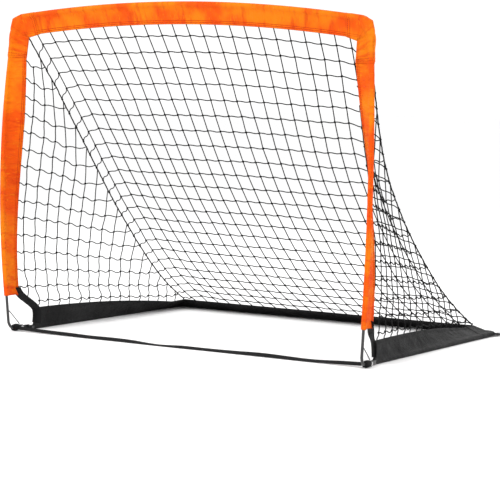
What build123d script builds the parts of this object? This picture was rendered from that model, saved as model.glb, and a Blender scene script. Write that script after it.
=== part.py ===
"""Folding football goal, four feet wide and three feet high.

Fibreglass poles in fabric sleeves make two U shapes of the same size: an upright one round the
mouth (two posts and a crossbar) and a ground one behind it (two side bars and a rear bar). A steel
elbow rod under each post ends in a hinge at the front of each side bar, so that the mouth folds
back flat over the ground frame. Riveted brackets at the four other corners then let the posts and
side bars swing inwards together, and the goal becomes a flat triangle. A net closes the back and
both sides.

Frame: +Z up, the mouth faces -Y, origin on the ground under the middle of the goal. Millimetres.
Left is -X. Every left-hand piece is mirrored to the right in the YZ plane.
"""

import os
from math import asin, cos, degrees, radians, sin, sqrt

from build123d import *

os.makedirs("parts", exist_ok=True)

# Fold geometry: the pin-to-pin reach is the same for a post and a side bar, so that the folded
# post lies exactly over its side bar.
REACH = 848.0
FOOT_Z = 9.0  # height of the foot hinge
FOOT_SETBACK = 56.0  # foot hinge behind the plane of the mouth
PIN_X = 575.0  # corner pins left and right of the middle
FRONT_Y = -455.0  # plane of the mouth
FOOT_Y = FRONT_Y + FOOT_SETBACK
REAR_PIN_Y = FOOT_Y + REACH
TOP_PIN_Z = FOOT_Z + REACH

# Poles, which the sleeves keep bent
POLE_RADIUS = 4.0
POST_BOW = 24.0  # at mid height, forwards and outwards
BOW_TURN = 40.0  # degrees that the bow is turned forwards from straight out
CROSSBAR_END_Z = 905.0  # crossbar pole where it crosses the pin's x
CROSSBAR_RISE = 40.0
GROUND_POLE_Z = 7.3
REAR_POLE_Y = REAR_PIN_Y
SIDE_POLE_X = 561.0
POLE_GAP = 0.2  # between two poles that meet in a ferrule

# Fabric sleeves: a tunnel round the pole and a flat band that the net is sewn to
TUNNEL_RADIUS = 7.2
TUNNEL_BORE = 6.5
BAND_REACH = 57.0  # pole centre to the band's net edge
BAND_THICKNESS = 1.6
POST_SLEEVE_Z = (105.0, 818.0)
MITRE = 50.0  # length over which a band widens from a top corner
GROUND_MITRE = 86.0  # and from a rear corner

# Brackets, ferrules and pins
SOCKET_RADIUS = 6.0
SOCKET_BORE = 4.15
SOCKET_LENGTH = 40.0
PLATE = 3.0  # thickness of a bracket's plate
PLATE_GAP = 0.4  # between the two plates of a hinge
KNUCKLE_RADIUS = 8.0
PIN_RADIUS = 2.5
TIGHT_HOLE = 2.52
RUNNING_HOLE = 2.56
PIN_HEAD_RADIUS = 5.0
PIN_HEAD = 1.8
ELBOW_BEND = 26.0
ELBOW_TOP_Z = 150.0
FERRULE_LENGTH = 60.0
EYE_THICKNESS = 4.0

# Webbing, cords and net
STRAP_WIDTH = 18.0
STRAP_THICKNESS = 1.6
NET_THICKNESS = 1.2
NET_MARGIN = 4.0
SEAM_RADIUS = 1.6


def circle_radius(half_chord, rise):
    return (half_chord**2 + rise**2) / (2 * rise)


POST_MIDDLE_Z = (TOP_PIN_Z + 40.0) / 2
POST_RADIUS = circle_radius(TOP_PIN_Z - POST_MIDDLE_Z, POST_BOW)
CROSSBAR_RADIUS = circle_radius(PIN_X, CROSSBAR_RISE)


def post_point(z):
    """A point on the left post's bent centre line."""
    bow = POST_BOW - POST_RADIUS + sqrt(POST_RADIUS**2 - (z - POST_MIDDLE_Z) ** 2)
    turn = radians(BOW_TURN)
    return Vector(-PIN_X - bow * cos(turn), FRONT_Y - bow * sin(turn), z)


def post_tangent(z):
    lean = asin((z - POST_MIDDLE_Z) / POST_RADIUS)
    turn = radians(BOW_TURN)
    return Vector(sin(lean) * cos(turn), sin(lean) * sin(turn), cos(lean))


def crossbar_point(x):
    """A point on the crossbar's arched centre line."""
    drop = CROSSBAR_RADIUS - sqrt(CROSSBAR_RADIUS**2 - x**2)
    return Vector(x, FRONT_Y, CROSSBAR_END_Z + CROSSBAR_RISE - drop)


def rod(line_of, radius, bore=0.0):
    """A round bar, or a tube, along the line that line_of draws."""
    with BuildPart() as bar:
        with BuildLine() as path:
            line_of()
        with BuildSketch(Plane(origin=path.line @ 0, z_dir=path.line % 0)):
            Circle(radius)
            if bore:
                Circle(bore, mode=Mode.SUBTRACT)
        sweep()
    return bar.part


def straight(start, end):
    return lambda: Line(start, end)


def post_arc(low, high):
    return lambda: ThreePointArc(post_point(low), post_point((low + high) / 2), post_point(high))


def crossbar_arc(left, right):
    middle = (left + right) / 2
    return lambda: ThreePointArc(crossbar_point(left), crossbar_point(middle), crossbar_point(right))


def band(sections):
    """The flat of a sleeve, lofted through (point, tangent, direction, reach) sections."""
    with BuildPart() as flat:
        for point, tangent, direction, reach in sections:
            inner = TUNNEL_RADIUS - 0.35
            with BuildSketch(Plane(origin=point, x_dir=direction, z_dir=tangent)):
                with Locations(((inner + reach) / 2, 0)):
                    Rectangle(reach - inner, BAND_THICKNESS)
        loft(ruled=True)
    return flat.part


def triangle_strip(sections):
    """The flat of a sleeve that twists, as a closed strip of flat triangles through the sections."""
    rings = []
    for point, tangent, direction, reach in sections:
        half = tangent.cross(direction).normalized() * (BAND_THICKNESS / 2)
        near = point + direction * (TUNNEL_RADIUS - 0.35)
        far = point + direction * reach
        rings.append((near + half, far + half, far - half, near - half))
    outlines = [rings[0][::-1], rings[-1]]
    for low, high in zip(rings, rings[1:]):
        for k in range(4):
            a, b, c, d = low[k], low[(k + 1) % 4], high[(k + 1) % 4], high[k]
            # Both broad sides are split along the same diagonal, so the thickness stays even.
            outlines += [(a, b, d), (b, c, d)] if k == 2 else [(a, b, c), (a, c, d)]
    faces = [Face(Wire.make_polygon(corners, close=True)) for corners in outlines]
    return Solid(Shell(faces))


def sleeve(tunnel, sections):
    with BuildPart() as fabric:
        add(tunnel)
        add(band(sections))
    return fabric.part


def rivet(start, end):
    """A pin with a head at each end; start and end are the outer faces of what it holds."""
    axis = (end - start).normalized()
    with BuildPart() as pin:
        with BuildSketch(Plane(origin=start, z_dir=axis)):
            Circle(PIN_RADIUS)
        extrude(amount=(end - start).length)
        for face, outwards in ((start, -axis), (end, axis)):
            with BuildSketch(Plane(origin=face, z_dir=outwards)):
                Circle(PIN_HEAD_RADIUS)
            extrude(amount=PIN_HEAD)
    return pin.part


def hinge_plate(pin, tail, normal, thickness, hole, knuckle=KNUCKLE_RADIUS):
    """A flat lug with a round end on the pin, running to its tail; normal points into its thickness."""
    along = tail - pin
    with BuildPart() as lug:
        with BuildSketch(Plane(origin=pin, x_dir=along.normalized(), z_dir=normal)):
            Circle(knuckle)
            with Locations((along.length / 2, 0)):
                Rectangle(along.length, 1.5 * knuckle)
            Circle(hole, mode=Mode.SUBTRACT)
        extrude(amount=thickness)
    return lug.part


def socket(mouth, closed_end):
    """A tube that holds a pole's end, with a solid stub of 6 mm at its closed end."""
    axis = (closed_end - mouth).normalized()
    with BuildPart() as tube:
        with BuildSketch(Plane(origin=mouth, z_dir=axis)):
            Circle(SOCKET_RADIUS)
        extrude(amount=(closed_end - mouth).length)
        with BuildSketch(Plane(origin=mouth, z_dir=axis)):
            Circle(SOCKET_BORE)
        extrude(amount=(closed_end - mouth).length - 6, mode=Mode.SUBTRACT)
    return tube.part


def joined(*pieces):
    with BuildPart() as whole:
        for piece in pieces:
            add(piece)
    return whole.part


def net_panel(*outlines):
    """Thin flat panels, one solid per outline, each drawn in towards its middle by the net margin."""
    with BuildPart() as panel:
        for corners in outlines:
            centre = sum(corners, Vector()) / len(corners)
            drawn_in = [p + (centre - p).normalized() * NET_MARGIN for p in corners]
            normal = (corners[1] - corners[0]).cross(corners[2] - corners[0])
            plane = Plane(origin=drawn_in[0], x_dir=drawn_in[1] - drawn_in[0], z_dir=normal)
            with BuildSketch(plane):
                with BuildLine():
                    Polyline(*[plane.to_local_coords(p) for p in drawn_in], close=True)
                make_face()
            extrude(amount=NET_THICKNESS / 2, both=True)
    return panel.part


def save(piece, name):
    piece.label = name
    export_step(piece, f"parts/{name}.step")


def save_pair(piece, name):
    """Writes a left-hand piece and its mirror image."""
    save(piece, f"left_{name}")
    with BuildPart() as right_hand:
        mirror(piece, about=Plane.YZ)
    save(right_hand.part, f"right_{name}")


# --- The foot: elbow rod, hinge, strap loop and stay cord ---

elbow_top = post_point(ELBOW_TOP_Z)
down = -post_tangent(ELBOW_TOP_Z)
elbow_corner = elbow_top + down * ((FOOT_Z - ELBOW_TOP_Z) / down.Z)
FOOT_X = elbow_corner.X
foot_pin = Vector(FOOT_X, FOOT_Y, FOOT_Z)


def elbow_line():
    FilletPolyline(elbow_top + down * POLE_GAP, elbow_corner, foot_pin - Vector(0, 12, 0), radius=ELBOW_BEND)


eye = hinge_plate(
    foot_pin - Vector(EYE_THICKNESS / 2, 0, 0),
    foot_pin - Vector(EYE_THICKNESS / 2, 19, 0),
    Vector(1, 0, 0),
    EYE_THICKNESS,
    TIGHT_HOLE,
)
save_pair(joined(rod(elbow_line, POLE_RADIUS), eye), "elbow_rod")

bracket_face_x = FOOT_X + EYE_THICKNESS / 2 + PLATE_GAP
plate_pin = Vector(bracket_face_x, FOOT_Y, FOOT_Z)
side_start = Vector(-SIDE_POLE_X, FOOT_Y + 30, GROUND_POLE_Z)
with BuildPart() as foot_bracket:
    add(hinge_plate(plate_pin, plate_pin + Vector(0, 36, -1), Vector(1, 0, 0), PLATE, RUNNING_HOLE))
    add(socket(side_start + Vector(0, SOCKET_LENGTH, 0), side_start))
    web_width = abs(-SIDE_POLE_X - bracket_face_x)
    with Locations((bracket_face_x + web_width / 2, FOOT_Y + 31, GROUND_POLE_Z)):
        Box(web_width, 10, 8)
    with BuildSketch(Plane(origin=side_start + Vector(0, 6, 0), z_dir=(0, 1, 0))):
        Circle(SOCKET_BORE)
    extrude(amount=SOCKET_LENGTH, mode=Mode.SUBTRACT)
save_pair(foot_bracket.part, "foot_bracket")

foot_rivet = rivet(
    foot_pin - Vector(EYE_THICKNESS / 2 + 0.05, 0, 0),
    plate_pin + Vector(PLATE + 0.05, 0, 0),
)
save_pair(foot_rivet, "foot_rivet")

loop_y = FRONT_Y + 21
with BuildPart() as strap_loop:
    with BuildSketch(Plane(origin=(FOOT_X, loop_y, FOOT_Z), z_dir=(0, 1, 0))):
        Circle(FOOT_Z)
        Circle(5.2, mode=Mode.SUBTRACT)
    extrude(amount=14)
save_pair(strap_loop.part, "strap_loop")

cord_top = Vector(FOOT_X - 1.5, FRONT_Y + 2.4, FOOT_Z + 52)
cord_end = Vector(FOOT_X, FOOT_Y - 6, FOOT_Z + 10.5)
save_pair(rod(straight(cord_top, cord_end), 1.0), "stay_cord")

# --- Posts ---

ferrule_axis = down * (FERRULE_LENGTH / 2)
ferrule = rod(straight(elbow_top - ferrule_axis, elbow_top + ferrule_axis), 5.6, SOCKET_BORE + 0.05)
save_pair(ferrule, "post_ferrule")

POST_POLE_TOP = 834.0
save_pair(rod(post_arc(ELBOW_TOP_Z, POST_POLE_TOP), POLE_RADIUS), "post_pole")


def post_band_direction(z):
    """In the plane of the mouth at the top, turned back along the side net at the foot."""
    share = (POST_SLEEVE_Z[1] - z) / (POST_SLEEVE_Z[1] - POST_SLEEVE_Z[0])
    turn = radians(5 + 83 * sin(share * 1.5708))
    return Vector(cos(turn), sin(turn), 0)


BAND_STEPS = 24
band_foot, band_top = POST_SLEEVE_Z[0], POST_SLEEVE_Z[1] - MITRE
band_levels = [band_foot + (band_top - band_foot) * k / BAND_STEPS for k in range(BAND_STEPS + 1)]
post_sections = [(post_point(z), post_tangent(z), post_band_direction(z), BAND_REACH) for z in band_levels]
post_sections.append(
    (post_point(POST_SLEEVE_Z[1]), post_tangent(POST_SLEEVE_Z[1]), Vector(1, 0, 0), TUNNEL_RADIUS + 1)
)
post_tunnel = rod(post_arc(*POST_SLEEVE_Z), TUNNEL_RADIUS, TUNNEL_BORE)
save_pair(joined(post_tunnel, triangle_strip(post_sections)), "post_sleeve")

top_pin = Vector(-PIN_X, FRONT_Y, TOP_PIN_Z)
post_socket_end = post_point(POST_POLE_TOP + 6.4)
post_socket_axis = post_tangent(POST_POLE_TOP - SOCKET_LENGTH / 2)
post_socket_mouth = post_socket_end - post_socket_axis * SOCKET_LENGTH
post_plate_pin = top_pin - Vector(0, PLATE + PLATE_GAP / 2, 0)
post_plate_tail = post_socket_end - post_socket_axis * 5
post_plate = hinge_plate(
    post_plate_pin,
    Vector(post_plate_tail.X, post_plate_pin.Y, post_plate_tail.Z),
    Vector(0, 1, 0),
    PLATE,
    TIGHT_HOLE,
)
post_top_bracket = joined(post_plate, socket(post_socket_mouth, post_socket_end))
save_pair(post_top_bracket, "post_top_bracket")

# --- Crossbar ---


def crossbar_tangent(x):
    lean = asin(-x / CROSSBAR_RADIUS)
    return Vector(cos(lean), 0, sin(lean))


CROSSBAR_POLE_END = 545.0
crossbar_socket_axis = crossbar_tangent(-CROSSBAR_POLE_END + SOCKET_LENGTH / 2)
save_pair(rod(crossbar_arc(-CROSSBAR_POLE_END, -POLE_GAP / 2), POLE_RADIUS), "crossbar_pole")
middle_half = Vector(FERRULE_LENGTH / 2, 0, 0)
crossbar_middle = crossbar_point(0)
crossbar_ferrule = rod(straight(crossbar_middle - middle_half, crossbar_middle + middle_half), 5.6, 4.25)
save(crossbar_ferrule, "crossbar_ferrule")

crossbar_socket_end = crossbar_point(-CROSSBAR_POLE_END - 6.4)
crossbar_socket_mouth = crossbar_socket_end + crossbar_socket_axis * SOCKET_LENGTH
crossbar_plate = hinge_plate(
    top_pin + Vector(0, PLATE_GAP / 2, 0),
    crossbar_socket_end + Vector(0, PLATE_GAP / 2, 0) + crossbar_socket_axis,
    Vector(0, 1, 0),
    PLATE,
    RUNNING_HOLE,
)
crossbar_bracket = joined(crossbar_plate, socket(crossbar_socket_mouth, crossbar_socket_end))
save(crossbar_bracket, "crossbar_left_bracket")
with BuildPart() as crossbar_right_bracket:
    mirror(crossbar_bracket, about=Plane.YZ)
save(crossbar_right_bracket.part, "crossbar_right_bracket")

CROSSBAR_SLEEVE_END = 530.0
CROSSBAR_BAND_TILT = radians(18)


def crossbar_band_direction(x):
    across = crossbar_tangent(x)
    return Vector(across.Z * cos(CROSSBAR_BAND_TILT), sin(CROSSBAR_BAND_TILT), -across.X * cos(CROSSBAR_BAND_TILT))


# Tunnel and band are one section, turned round the arc's centre. The wedges cut the mitred ends.
arc_centre = Vector(0, FRONT_Y, crossbar_point(0).Z - CROSSBAR_RADIUS)
half_turn = degrees(asin(CROSSBAR_SLEEVE_END / CROSSBAR_RADIUS))
left_end = crossbar_point(-CROSSBAR_SLEEVE_END)
left_across = crossbar_band_direction(-CROSSBAR_SLEEVE_END)
with BuildPart() as crossbar_sleeve:
    left_plane = Plane(origin=left_end, x_dir=left_across, z_dir=crossbar_tangent(-CROSSBAR_SLEEVE_END))
    with BuildSketch(left_plane):
        Circle(TUNNEL_RADIUS)
        with Locations(((TUNNEL_RADIUS - 0.35 + BAND_REACH) / 2, 0)):
            Rectangle(BAND_REACH - TUNNEL_RADIUS + 0.35, BAND_THICKNESS)
        Circle(TUNNEL_BORE, mode=Mode.SUBTRACT)
    revolve(axis=Axis(arc_centre, (0, 1, 0)), revolution_arc=2 * half_turn)
    for side in (-1, 1):
        end = crossbar_point(side * CROSSBAR_SLEEVE_END)
        inwards = crossbar_tangent(side * CROSSBAR_SLEEVE_END) * -side
        hem = crossbar_band_direction(side * CROSSBAR_SLEEVE_END)
        near_pole = end + hem * (TUNNEL_RADIUS + 1)
        past_hem = end + hem * (BAND_REACH + 6)
        wedge_plane = Plane(origin=near_pole, x_dir=inwards, z_dir=inwards.cross(hem))
        corners = [near_pole - inwards * 4, past_hem - inwards * 4, past_hem + inwards * MITRE * 1.12, near_pole]
        with BuildSketch(wedge_plane):
            with BuildLine():
                Polyline(*[wedge_plane.to_local_coords(p) for p in corners], close=True)
            make_face()
        extrude(amount=6, both=True, mode=Mode.SUBTRACT)
save(crossbar_sleeve.part, "crossbar_sleeve")

top_rivet_front = top_pin - Vector(0, PLATE + PLATE_GAP / 2 + 0.05, 0)
top_rivet_back = top_pin + Vector(0, PLATE + PLATE_GAP / 2 + 0.05, 0)
save(rivet(top_rivet_front, top_rivet_back), "left_top_rivet")

# The right-hand rivet is only as long as the post's plate: it is where the loop is opened.
with BuildPart() as right_top_rivet:
    with BuildSketch(Plane(origin=(PIN_X, top_rivet_front.Y, TOP_PIN_Z), z_dir=(0, 1, 0))):
        Circle(PIN_RADIUS)
    extrude(amount=PLATE)
    with BuildSketch(Plane(origin=(PIN_X, top_rivet_front.Y, TOP_PIN_Z), z_dir=(0, -1, 0))):
        Circle(PIN_HEAD_RADIUS)
    extrude(amount=PIN_HEAD)
save(right_top_rivet.part, "right_top_rivet")

# Corner covers: a fabric pocket over each top hinge, open below and towards the middle.
COVER_WALL = 0.8
COVER_HALF_DEPTH = 10.4
COVER_X = (-PIN_X - 14.0, -PIN_X + 36.0)
COVER_Z = (822.0, CROSSBAR_END_Z + 16.0)


def cover_outline(inset):
    with BuildSketch(Plane.XZ.offset(-FRONT_Y + COVER_HALF_DEPTH - inset)) as outline:
        with BuildLine():
            left, right = COVER_X[0] + inset, COVER_X[1] + 60 * bool(inset)
            low, high = COVER_Z[0] - 60 * bool(inset), COVER_Z[1] - inset
            Polyline((right, low), (left, low), (left, high - 14), (left + 18, high), (right, high), close=True)
        make_face()
    return outline.sketch


with BuildPart() as corner_cover:
    extrude(cover_outline(0), amount=-2 * COVER_HALF_DEPTH)
    extrude(cover_outline(COVER_WALL), amount=-2 * (COVER_HALF_DEPTH - COVER_WALL), mode=Mode.SUBTRACT)
save(corner_cover.part, "crossbar_left_corner_cover")
with BuildPart() as right_corner_cover:
    mirror(corner_cover.part, about=Plane.YZ)
save(right_corner_cover.part, "crossbar_right_corner_cover")

# --- Side bars ---

side_pole_start = side_start + Vector(0, 6.2, 0)
side_pole_end = Vector(-SIDE_POLE_X, REAR_PIN_Y - 35, GROUND_POLE_Z)
save_pair(rod(straight(side_pole_start, side_pole_end), POLE_RADIUS), "side_pole")

SIDE_SLEEVE_START = FRONT_Y + 100
SIDE_SLEEVE_END = REAR_PIN_Y - 46
SIDE_BAND_END = SIDE_SLEEVE_END - GROUND_MITRE


def side_band_direction(y):
    """Upright at the foot, lying nearly flat at the rear corner."""
    share = (y - SIDE_SLEEVE_START) / (SIDE_BAND_END - SIDE_SLEEVE_START)
    rise = radians(88 - 63 * share**1.3)
    return Vector(cos(rise), 0, sin(rise))


side_steps = [SIDE_SLEEVE_START + (SIDE_BAND_END - SIDE_SLEEVE_START) * k / 6 for k in range(7)]
backwards = Vector(0, 1, 0)
side_sections = [
    (Vector(-SIDE_POLE_X, y, GROUND_POLE_Z), backwards, side_band_direction(y), BAND_REACH) for y in side_steps
]
side_sections.append(
    (
        Vector(-SIDE_POLE_X, SIDE_SLEEVE_END, GROUND_POLE_Z),
        backwards,
        side_band_direction(SIDE_BAND_END),
        TUNNEL_RADIUS + 1,
    )
)
side_tunnel = rod(
    straight(side_sections[0][0], side_sections[-1][0]),
    TUNNEL_RADIUS,
    TUNNEL_BORE,
)
save_pair(sleeve(side_tunnel, side_sections), "side_sleeve")

# Rear corner: the side bar's plate lies under the rear bar's, on an upright rivet.
rear_pin = Vector(-PIN_X, REAR_PIN_Y, 0)
LOWER_PLATE_Z = 3.0
UPPER_PLATE_Z = LOWER_PLATE_Z + PLATE + PLATE_GAP
side_socket_end = side_pole_end + Vector(0, 6.2, 0)
with BuildPart() as side_rear_bracket:
    add(socket(side_socket_end - Vector(0, SOCKET_LENGTH, 0), side_socket_end))
    pin_at_plate = rear_pin + Vector(0, 0, LOWER_PLATE_Z)
    tail = Vector(-SIDE_POLE_X, side_socket_end.Y - 3, LOWER_PLATE_Z)
    add(hinge_plate(pin_at_plate, tail, Vector(0, 0, 1), PLATE, RUNNING_HOLE))
    with BuildSketch(Plane(origin=side_socket_end - Vector(0, SOCKET_LENGTH, 0), z_dir=(0, 1, 0))):
        Circle(SOCKET_BORE)
    extrude(amount=SOCKET_LENGTH - 6, mode=Mode.SUBTRACT)
save_pair(side_rear_bracket.part, "side_rear_bracket")

# --- Rear bar ---

rear_pole_end = Vector(-PIN_X + 35, REAR_POLE_Y, GROUND_POLE_Z)
rear_middle = Vector(-POLE_GAP / 2, REAR_POLE_Y, GROUND_POLE_Z)
rear_pole = rod(straight(rear_pole_end, rear_middle), POLE_RADIUS)
save_pair(rear_pole, "rear_pole")
rear_centre = Vector(0, REAR_POLE_Y, GROUND_POLE_Z)
rear_ferrule = rod(straight(rear_centre - middle_half, rear_centre + middle_half), 5.6, 4.2)
save(rear_ferrule, "rear_ferrule")

rear_socket_end = rear_pole_end - Vector(6.2, 0, 0)
with BuildPart() as rear_bracket:
    add(socket(rear_socket_end + Vector(SOCKET_LENGTH, 0, 0), rear_socket_end))
    pin_at_plate = rear_pin + Vector(0, 0, UPPER_PLATE_Z)
    tail = Vector(rear_socket_end.X + 3, REAR_POLE_Y, UPPER_PLATE_Z)
    add(hinge_plate(pin_at_plate, tail, Vector(0, 0, 1), PLATE, TIGHT_HOLE))
    with BuildSketch(Plane(origin=rear_socket_end + Vector(6, 0, 0), z_dir=(1, 0, 0))):
        Circle(SOCKET_BORE)
    extrude(amount=SOCKET_LENGTH, mode=Mode.SUBTRACT)
save_pair(rear_bracket.part, "rear_bracket")

rear_rivet = rivet(
    rear_pin + Vector(0, 0, LOWER_PLATE_Z - 0.05),
    rear_pin + Vector(0, 0, UPPER_PLATE_Z + PLATE + 0.05),
)
save_pair(rear_rivet, "rear_rivet")

REAR_SLEEVE_END = PIN_X - 46.0
rear_band_rise = radians(25)
rear_direction = Vector(0, -cos(rear_band_rise), sin(rear_band_rise))
rightwards = Vector(1, 0, 0)
rear_ends = [
    (-REAR_SLEEVE_END, TUNNEL_RADIUS + 1),
    (-REAR_SLEEVE_END + GROUND_MITRE, BAND_REACH),
    (REAR_SLEEVE_END - GROUND_MITRE, BAND_REACH),
    (REAR_SLEEVE_END, TUNNEL_RADIUS + 1),
]
rear_sections = [
    (Vector(x, REAR_POLE_Y, GROUND_POLE_Z), rightwards, rear_direction, reach) for x, reach in rear_ends
]
rear_tunnel = rod(straight(rear_sections[0][0], rear_sections[-1][0]), TUNNEL_RADIUS, TUNNEL_BORE)
save(sleeve(rear_tunnel, rear_sections), "rear_sleeve")

# Peg loops: a short ring of cord on the ground behind each rear corner.
LOOP_CORD_RADIUS = 1.6


def peg_loop_line():
    centre = rear_pin + Vector(14, 10, LOOP_CORD_RADIUS)
    ThreePointArc(centre + Vector(-9, 0, 0), centre + Vector(0, 18, 0), centre + Vector(9, 0, 0))


save_pair(rod(peg_loop_line, LOOP_CORD_RADIUS), "peg_loop")

# --- Net, its edge cords and the straps ---

net_top_corner = Vector(-PIN_X + 45, FRONT_Y + 22, 838)
net_top_middle = crossbar_point(0) + crossbar_band_direction(0) * (BAND_REACH + 6)
net_seam_middle = Vector(-492, FRONT_Y + 358, 405)
net_rear_corner = Vector(-PIN_X + 68, REAR_POLE_Y - 60, 36)
net_foot = Vector(-SIDE_POLE_X + 9, FRONT_Y + 110, 80)


def right_of(point):
    return Vector(-point.X, point.Y, point.Z)


# The net hangs slack: it drops below the straight line from the crossbar to the rear bar.
upper_back = (net_top_corner, net_seam_middle, right_of(net_seam_middle), right_of(net_top_corner))
lower_back = (net_seam_middle, net_rear_corner, right_of(net_rear_corner), right_of(net_seam_middle))
under_arch = (net_top_corner, right_of(net_top_corner), net_top_middle)
save(net_panel(upper_back, lower_back, under_arch), "back_net")

net_post_top = post_point(760) + Vector(40, 40, 0)
side_seam_middle = net_seam_middle - Vector(8, 8, 8)
side_rear_corner = net_rear_corner - Vector(14, 30, 0)
front_of_side = (net_post_top, net_foot, side_seam_middle)
rear_of_side = (net_foot, side_rear_corner, side_seam_middle)
save_pair(net_panel(front_of_side, rear_of_side), "side_net")

seam_low = net_rear_corner - Vector(9, 8, 6)
seam_middle = net_seam_middle - Vector(6, 6, 6)
seam_high = net_top_corner - Vector(9, 4, 6)


def seam_line():
    FilletPolyline(seam_low, seam_middle, seam_high, radius=400)


save_pair(rod(seam_line, SEAM_RADIUS), "seam_cord")

strap_from = Vector(FOOT_X + 2, FRONT_Y + 50, 99)
strap_to = Vector(FOOT_X + 7, FRONT_Y + 97, 70)
strap_run = strap_to - strap_from
with BuildPart() as corner_strap:
    with BuildSketch(Plane(origin=strap_from, x_dir=(1, 0, 0), z_dir=strap_run)):
        Rectangle(STRAP_THICKNESS, 12)
    extrude(amount=strap_run.length)
save_pair(corner_strap.part, "corner_strap")

strap_end = FOOT_X + FOOT_Z + 1
with BuildPart() as front_strap:
    with Locations((strap_end / 2 - 0.1, FRONT_Y + 28, STRAP_THICKNESS / 2)):
        Box(-strap_end - 0.2, STRAP_WIDTH, STRAP_THICKNESS)
save_pair(front_strap.part, "front_strap")
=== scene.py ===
# %% [markdown]
# # A folding football goal
#
# Bent poles in bright orange sleeves frame the mouth, black sleeves hold the poles on the ground,
# and a knotted net closes the back and the sides. The metal, the poles and the hinges arrive
# finished, as a fixed frame. This lesson makes everything soft: the sleeves, the webbing, the
# cords and about eight hundred knots of netting.

import math

import bmesh
import bpy
import numpy as np
from mathutils import Matrix, Vector, noise


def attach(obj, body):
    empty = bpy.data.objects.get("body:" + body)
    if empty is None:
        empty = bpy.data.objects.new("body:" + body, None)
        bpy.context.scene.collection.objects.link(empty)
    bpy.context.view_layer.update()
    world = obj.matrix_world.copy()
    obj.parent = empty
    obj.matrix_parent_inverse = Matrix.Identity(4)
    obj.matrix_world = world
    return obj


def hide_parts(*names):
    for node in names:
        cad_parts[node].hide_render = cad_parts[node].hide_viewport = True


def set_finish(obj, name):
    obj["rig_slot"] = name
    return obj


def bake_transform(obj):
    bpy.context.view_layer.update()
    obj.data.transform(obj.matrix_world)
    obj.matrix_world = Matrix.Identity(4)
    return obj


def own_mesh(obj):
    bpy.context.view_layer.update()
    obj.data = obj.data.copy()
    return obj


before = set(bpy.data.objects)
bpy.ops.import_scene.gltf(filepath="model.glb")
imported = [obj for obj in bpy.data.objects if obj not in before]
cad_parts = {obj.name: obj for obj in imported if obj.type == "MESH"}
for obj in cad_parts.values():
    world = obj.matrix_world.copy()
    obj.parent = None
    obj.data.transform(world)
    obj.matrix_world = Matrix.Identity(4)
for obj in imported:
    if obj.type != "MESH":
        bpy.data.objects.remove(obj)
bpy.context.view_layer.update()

# %% [markdown]
# ## Small helpers
#
# A few sums come back throughout the lesson, so they get names first.


# %% Helpers
def unit(value):
    """The value, kept between 0 and 1."""
    return min(1.0, max(0.0, value))


def running_length(points):
    """The length of a path up to each of its points."""
    steps = np.linalg.norm(np.diff(points, axis=0), axis=1)
    return np.concatenate([[0], np.cumsum(steps)])


def normalised(vectors):
    return vectors / np.linalg.norm(vectors, axis=1)[:, None]


def placed(name, data):
    """A new object at the origin of the scene."""
    made = bpy.data.objects.new(name, data)
    bpy.context.scene.collection.objects.link(made)
    return made


def carry(piece, body, node=None):
    """Lets a piece ride on a body, and stand for a node of the frame."""
    if node:
        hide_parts(node)
    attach(piece, body)


print("half a metre of path:", running_length([(0, 0, 0), (0.3, 0, 0), (0.3, 0.2, 0)])[-1])

# %% [markdown]
# ## The camera
#
# A long lens, about 140 mm, flattens perspective, so a goal more than a metre wide keeps its
# proportions. The camera stands in front and to the right, a little below the crossbar's height,
# and leans over by a degree and a half.

# %% Camera
LENS, SENSOR = 138.55, 36  # millimetres
CAMERA_PLACE = (2.8306, -4.8895, 0.7104)
YAW, PITCH, ROLL = (math.radians(a) for a in (30.387, 4.678, 1.498))

forward = Vector((-math.sin(YAW) * math.cos(PITCH), math.cos(YAW) * math.cos(PITCH), -math.sin(PITCH)))
level = Vector((math.cos(YAW), math.sin(YAW), 0))
upright = level.cross(forward)
right = level * math.cos(ROLL) + upright * math.sin(ROLL)
up = upright * math.cos(ROLL) - level * math.sin(ROLL)
camera = placed("camera", bpy.data.cameras.new("camera"))
bpy.context.scene.camera = camera
turn = Matrix((right, up, -forward)).transposed()
camera.matrix_world = Matrix.Translation(CAMERA_PLACE) @ turn.to_4x4()
camera.data.sensor_width = SENSOR
camera.data.lens = LENS
print("lens", round(LENS, 1), "mm")

# %% [markdown]
# ## Sizes
#
# Everything soft is sewn or tied to the poles, so the first step is to say where the poles run.
# Each post is an arc that bows outwards and forwards. The crossbar is an arc that rises in the
# middle.

# %% The poles' centre lines
FRONT, REAR = -0.455, 0.449
PIN_X, TOP_PIN_Z = 0.575, 0.857
POST_FOOT_Z = 0.040
POST_BOW, BOW_TURN = 0.024, math.radians(40)
CROSSBAR_END_Z, CROSSBAR_RISE = 0.905, 0.040
GROUND_POLE_Z, SIDE_POLE_X = 0.0073, 0.561
TUNNEL = 0.0072  # radius of the tunnel round a pole
BAND = 0.057  # from the pole's centre to the hem


def arc_radius(half_chord, rise):
    return (half_chord**2 + rise**2) / (2 * rise)


POST_MIDDLE = (TOP_PIN_Z + POST_FOOT_Z) / 2
POST_R = arc_radius(TOP_PIN_Z - POST_MIDDLE, POST_BOW)
CROSSBAR_R = arc_radius(PIN_X, CROSSBAR_RISE)


def post(z):
    bow = POST_BOW - POST_R + math.sqrt(POST_R**2 - (z - POST_MIDDLE) ** 2)
    return np.array([-PIN_X - bow * math.cos(BOW_TURN), FRONT - bow * math.sin(BOW_TURN), z])


def crossbar(x):
    drop = CROSSBAR_R - math.sqrt(CROSSBAR_R**2 - x * x)
    return np.array([x, FRONT, CROSSBAR_END_Z + CROSSBAR_RISE - drop])


print("crossbar's highest point", crossbar(0).round(4))

# %% [markdown]
# ## Shader arithmetic
#
# A material is a little program. Writing it as Python expressions keeps it readable, so a small
# class wraps a socket: `1 - mask` then adds a Math node. Every other node comes from `node`.


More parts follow.
